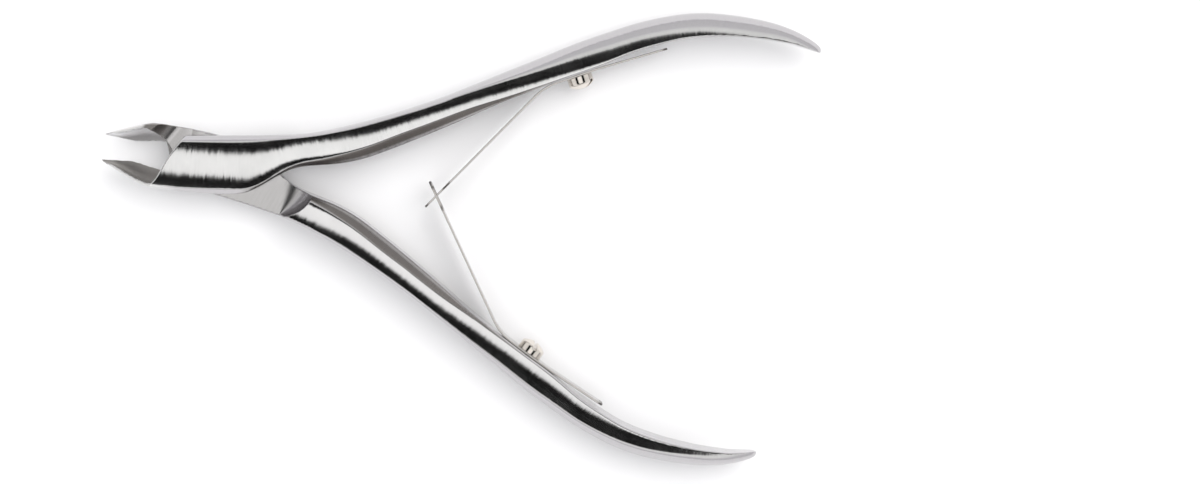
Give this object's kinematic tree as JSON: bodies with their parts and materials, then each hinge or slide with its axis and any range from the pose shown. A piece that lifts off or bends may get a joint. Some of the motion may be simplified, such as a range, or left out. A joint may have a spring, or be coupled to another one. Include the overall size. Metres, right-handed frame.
{
  "type": "cuticle nipper",
  "caption": "Stainless steel lap-joint cuticle nipper with hollow-ground jaws, curved handles and crossed leaf springs that hold it open.",
  "frame": {"origin": "on the pivot axis, at the back face of the pivot screw's head, which is the plane the nipper lies on", "axes": "+X from the pivot to the handle ends along the middle of the open tool, +Y towards the front half's handle, +Z along the pivot axis towards the front plate"},
  "size_m": [0.1062, 0.0696, 0.0078],
  "materials": {
    "forging_steel": "satin, brushed across the handles",
    "spring_steel": "bright rolled strip",
    "screw_steel": "turned, satin",
    "screw_nickel": "polished nickel"
  },
  "bodies": {
    "front": {"front_half": "forging_steel", "pivot_screw": "screw_steel", "upper_leaf_base": "spring_steel", "upper_spring_screw": "screw_nickel"},
    "rear": {"rear_half": "forging_steel", "lower_leaf_base": "spring_steel", "lower_spring_screw": "screw_nickel"},
    "upper_arm": {"upper_leaf_arm": "spring_steel"},
    "lower_arm": {"lower_leaf_arm": "spring_steel"}
  },
  "joints": [
    {"name": "pivot", "type": "hinge", "parent": "front", "child": "rear", "pos_m": [0, 0, 0.0039], "axis": [0, 0, 1], "range_deg": [0, 11], "stiffness_Nm_per_rad": 0.35, "springref_deg": -28.65},
    {"name": "upper_leaf_flex", "type": "hinge", "parent": "front", "child": "upper_arm", "pos_m": [0.04435, 0.01767, 0.0039], "axis": [0, 0, 1], "range_deg": [-12.2, 0.3]},
    {"name": "lower_leaf_flex", "type": "hinge", "parent": "rear", "child": "lower_arm", "pos_m": [0.04336, -0.01695, 0.0039], "axis": [0, 0, 1], "range_deg": [-0.3, 11.6]}
  ],
  "couplings": [
    {"joint": "upper_leaf_flex", "follows": "pivot", "ratio": -1.08},
    {"joint": "lower_leaf_flex", "follows": "pivot", "ratio": 1.02}
  ]
}
